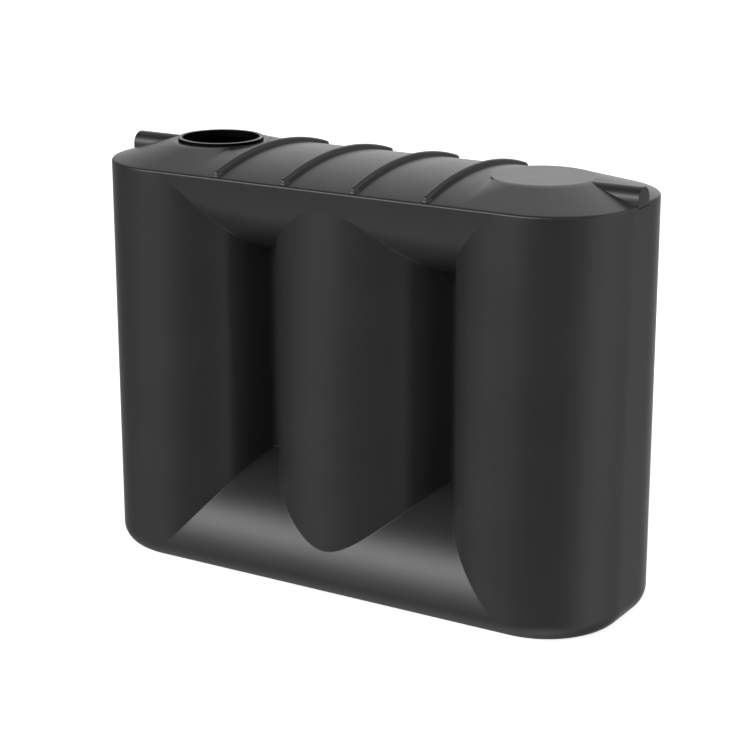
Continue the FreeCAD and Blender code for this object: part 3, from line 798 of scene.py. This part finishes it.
# ---------------------------------------------------------------------------
# Stage: a pale paper sweep, soft lights, and the camera
# ---------------------------------------------------------------------------
mat, nt, bsdf = new_material("pale_paper")
coord = nt.nodes.new("ShaderNodeTexCoord").outputs["Object"]
fibre = noise(nt, coord, 40.0, 4.0, 0.6)
tone = ramp(nt, fibre.outputs["Fac"], [(0.3, (0.86, 0.86, 0.86, 1)), (0.7, (0.88, 0.88, 0.88, 1))])
nt.links.new(tone.outputs["Color"], bsdf.inputs["Base Color"])
bsdf.inputs["Roughness"].default_value = 0.9
bsdf.inputs["Specular IOR Level"].default_value = 0.0
bsdf.inputs["Emission Color"].default_value = (1, 1, 1, 1)
bsdf.inputs["Emission Strength"].default_value = 0.80

AZ, EL, DIST = math.radians(31.336), math.radians(16.488), 10.7854
# round floor with a rim that sweeps up far behind the tank, whichever side it is seen from
profile = [(2.0, 0.0), (5.0, 0.0), (9.0, 0.0), (14.0, 0.0)]
profile += [(14.0 + 3.0 * math.sin(t), 3.0 - 3.0 * math.cos(t)) for t in np.linspace(0, math.pi / 2, 16)[1:]]
profile += [(17.0, 9.0)]
n, m = 96, len(profile)
v = [(0.0, 0.0, -0.0005)] + [(r * math.sin(2 * math.pi * j / n), -r * math.cos(2 * math.pi * j / n), z - 0.0005) for r, z in profile for j in range(n)]
f = [[0, 1 + j, 1 + (j + 1) % n] for j in range(n)]
f += [[1 + i * n + j, 1 + (i + 1) * n + j, 1 + (i + 1) * n + (j + 1) % n, 1 + i * n + (j + 1) % n] for i in range(m - 1) for j in range(n)]
sweep_mesh = new_mesh("paper_sweep", v, f)
smooth_with_edges(sweep_mesh, 40)
sweep = bpy.data.objects.new("paper_sweep", sweep_mesh)
bpy.context.scene.collection.objects.link(sweep)
sweep.data.materials.append(mat)
sweep.visible_glossy = sweep.visible_diffuse = sweep.visible_shadow = False   # a dark studio floor does not light the tank

world = bpy.data.worlds.new("studio")
bpy.context.scene.world = world
world.use_nodes = True
wn = world.node_tree
wn.nodes.clear()
w_out = wn.nodes.new("ShaderNodeOutputWorld")
w_bg = wn.nodes.new("ShaderNodeBackground")
w_bg.inputs["Strength"].default_value = 1.0
wn.links.new(w_bg.outputs["Background"], w_out.inputs["Surface"])
w_dir = wn.nodes.new("ShaderNodeTexCoord")

# soft lights round the studio: azimuth from the tank's front, elevation, tightness, brightness
LIGHTS = [
    (30, -65, 10, 1.068),
    (-90, -65, 10, 0.409),
    (90, -28, 10, 0.692),
    (135, -28, 10, 0.106),
    (180, -28, 10, 0.358),
    (-135, -28, 10, 0.111),
    (-90, -28, 10, 0.095),
    (-45, -28, 10, 0.352),
    (72, -6, 10, 0.071),
    (108, -6, 10, 0.286),
    (144, -6, 10, 0.060),
    (-144, -6, 10, 0.580),
    (90, 12, 10, 0.283),
    (126, 12, 10, 0.501),
    (-162, 12, 10, 0.426),
    (40, 30, 10, 0.454),
    (120, 30, 10, 0.568),
    (-160, 30, 10, 0.608),
    (123, 48, 10, 0.324),
    (-134, 48, 10, 0.172),
    (-144, 66, 10, 0.093),
    (-60, 20, 40, 0.780),
    (-40, 8, 40, 0.570),
    (-40, 20, 40, 4.129),
    (-40, 32, 40, 0.705),
    (-20, 8, 40, 1.205),
    (-20, 20, 40, 3.198),
    (-20, 32, 40, 1.275),
    (0, 20, 40, 1.940),
    (0, 32, 40, 2.356),
]


def soft_light(azimuth, elevation, tight, bright):
    """Brightness that falls off smoothly round one direction."""
    a, e = math.radians(azimuth), math.radians(elevation)
    dot = wn.nodes.new("ShaderNodeVectorMath")
    dot.operation = "DOT_PRODUCT"
    dot.inputs[1].default_value = (math.sin(a) * math.cos(e), -math.cos(a) * math.cos(e), math.sin(e))
    wn.links.new(w_dir.outputs["Generated"], dot.inputs[0])
    fall = wn.nodes.new("ShaderNodeMath")
    fall.operation = "MULTIPLY_ADD"
    fall.inputs[1].default_value = tight
    fall.inputs[2].default_value = math.log(bright) - tight
    wn.links.new(dot.outputs["Value"], fall.inputs[0])
    glow = wn.nodes.new("ShaderNodeMath")
    glow.operation = "EXPONENT"
    wn.links.new(fall.outputs[0], glow.inputs[0])
    return glow.outputs[0]


total = None
for light in LIGHTS:
    glow = soft_light(*light)
    if total is not None:
        add = wn.nodes.new("ShaderNodeMath")
        add.operation = "ADD"
        wn.links.new(total, add.inputs[0])
        wn.links.new(glow, add.inputs[1])
        glow = add.outputs[0]
    total = glow
wn.links.new(total, w_bg.inputs["Color"])

back = Vector((math.sin(AZ) * math.cos(EL), -math.cos(AZ) * math.cos(EL), math.sin(EL)))
cam = bpy.data.cameras.new("camera")
cam.sensor_width = 36.0
cam.sensor_fit = "HORIZONTAL"
cam.lens = 2090.96 * 36.0 / 750.0
cam.shift_x, cam.shift_y = -0.5 / 750.0, 0.5 / 750.0
cam.clip_start, cam.clip_end = 0.1, 200.0
cam_obj = bpy.data.objects.new("camera", cam)
bpy.context.scene.collection.objects.link(cam_obj)
cam_obj.location = Vector((0.0027, 0.0, 1.0473)) + back * DIST
cam_obj.rotation_mode = "QUATERNION"
cam_obj.rotation_quaternion = (-back).to_track_quat("-Z", "Y")
bpy.context.scene.camera = cam_obj

bpy.context.scene.view_settings.view_transform = "Standard"
bpy.context.scene.view_settings.look = "None"
bpy.context.scene.view_settings.exposure = 0.0
bpy.context.scene.view_settings.gamma = 1.0

bpy.context.view_layer.update()
